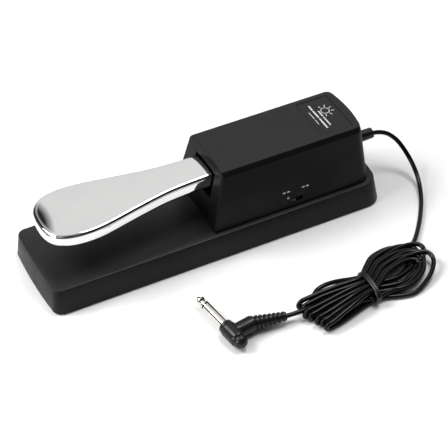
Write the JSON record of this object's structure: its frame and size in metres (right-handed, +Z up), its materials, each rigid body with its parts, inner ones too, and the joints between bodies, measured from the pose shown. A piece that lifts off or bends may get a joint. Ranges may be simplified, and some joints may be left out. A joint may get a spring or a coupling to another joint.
{
  "type": "sustain pedal",
  "caption": "Piano-style sustain foot pedal: weighted base, tall housing, sprung chrome lever, polarity switch and a tied cord with a 6.35 mm right-angle plug.",
  "frame": {"origin": "middle of the underside of the base, on the floor, with the free cord left out", "axes": "+X to the side with the polarity switch, +Y from the lever to the cord's exit, +Z up"},
  "size_m": [0.1664, 0.2815, 0.0627],
  "materials": {
    "moulded_black": "fine moulded grain, satin",
    "zinc_steel": "zinc plated",
    "rubber": "matt",
    "screw_steel": "plated",
    "badge": null,
    "chrome": "polished",
    "nylon": "natural nylon",
    "spring_steel": "oiled",
    "switch_black": "smooth",
    "plunger_red": "smooth",
    "brass": "tinned",
    "board_green": "solder mask",
    "cord_black": "smooth PVC, slightly glossy",
    "soft_black": "satin moulded PVC",
    "tie_black": "coated wire",
    "nickel": "nickel plated",
    "insulator_black": "smooth"
  },
  "bodies": {
    "frame": {"base_shell": "moulded_black", "bottom_plate": "zinc_steel", "rubber_sole": "rubber", "plate_screws": "screw_steel", "housing_cover": "moulded_black", "badge_plate": "badge", "housing_screws": "screw_steel", "pivot_axle": "screw_steel", "axle_clips": "screw_steel", "pivot_bracket": "zinc_steel", "bracket_screws": "screw_steel", "return_spring": "spring_steel", "spring_cup": "nylon", "up_stop_pad": "rubber", "down_stop_pad": "rubber", "micro_switch_body": "switch_black", "micro_switch_tabs": "brass", "switch_stand": "zinc_steel", "switch_screws": "screw_steel", "switch_nuts": "screw_steel", "stand_screw": "screw_steel", "circuit_board": "board_green", "board_spacers": "nylon", "board_screws": "screw_steel", "polarity_switch_body": "switch_black", "inner_lead": "cord_black", "cord_lead": "cord_black", "cord_tail": "cord_black", "cord_gland": "soft_black", "cord_clamp": "nylon", "clamp_screw": "screw_steel", "cord_hank": "cord_black", "hank_tie": "tie_black", "plug_sleeve": "nickel", "plug_insulator": "insulator_black", "plug_tip": "nickel", "plug_collar": "soft_black", "plug_body": "soft_black", "plug_boot": "soft_black"},
    "lever": {"pedal_lever": "chrome", "lever_arm": "zinc_steel", "lever_screws": "screw_steel", "pivot_bushes": "nylon"},
    "plunger": {"micro_switch_plunger": "plunger_red"},
    "slider": {"polarity_slider": "switch_black"}
  },
  "joints": [
    {"name": "lever_pivot", "type": "hinge", "parent": "frame", "child": "lever", "pos_m": [0, 0.062, 0.0452], "axis": [1, 0, 0], "range_deg": [0, 8], "stiffness_Nm_per_rad": 5.7, "springref_deg": -14.9, "deforming": ["return_spring"]},
    {"name": "plunger_slide", "type": "slide", "parent": "frame", "child": "plunger", "axis": [0, 0, -1], "range_m": [0, 0.0017]},
    {"name": "polarity_slide", "type": "slide", "parent": "frame", "child": "slider", "axis": [0, 1, 0], "range_m": [0, 0.004]}
  ],
  "couplings": [
    {"joint": "plunger_slide", "follows": "lever_pivot", "m_per_rad": 0.012}
  ]
}
